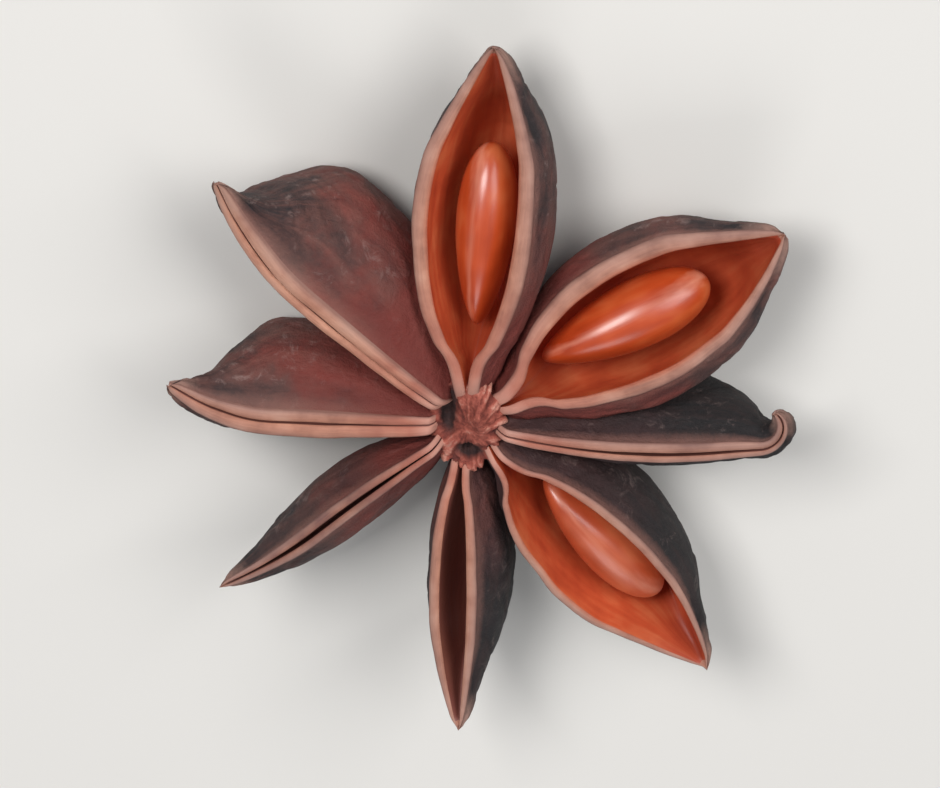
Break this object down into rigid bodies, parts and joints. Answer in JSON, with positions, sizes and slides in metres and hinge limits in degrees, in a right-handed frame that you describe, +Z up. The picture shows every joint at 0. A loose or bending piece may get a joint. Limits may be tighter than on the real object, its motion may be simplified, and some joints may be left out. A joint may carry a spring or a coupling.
{
  "type": "star anise pod",
  "caption": "Dried star anise fruit: boat-shaped woody carpels round a central column, shut or split open, with glossy seeds in the widest; a whole spice and garnish.",
  "frame": {"origin": "middle of the object's box in plan, at the table it rests on", "axes": "+Z up along the fruit's axis, +X towards the shut carpel on the right, +Y roughly along the long open carpel that holds the upper seed"},
  "size_m": [0.0328, 0.0396, 0.0092],
  "materials": {
    "husk": "dried, wrinkled husk: dull grey-brown to maroon outside, pale tan lips, satin orange lining",
    "seed_coat": "smooth, glossy orange-brown seed coat"
  },
  "bodies": {
    "root": {"pod": "husk", "seed_upper": "seed_coat", "seed_right": "seed_coat", "seed_lower": "seed_coat"}
  },
  "joints": []
}
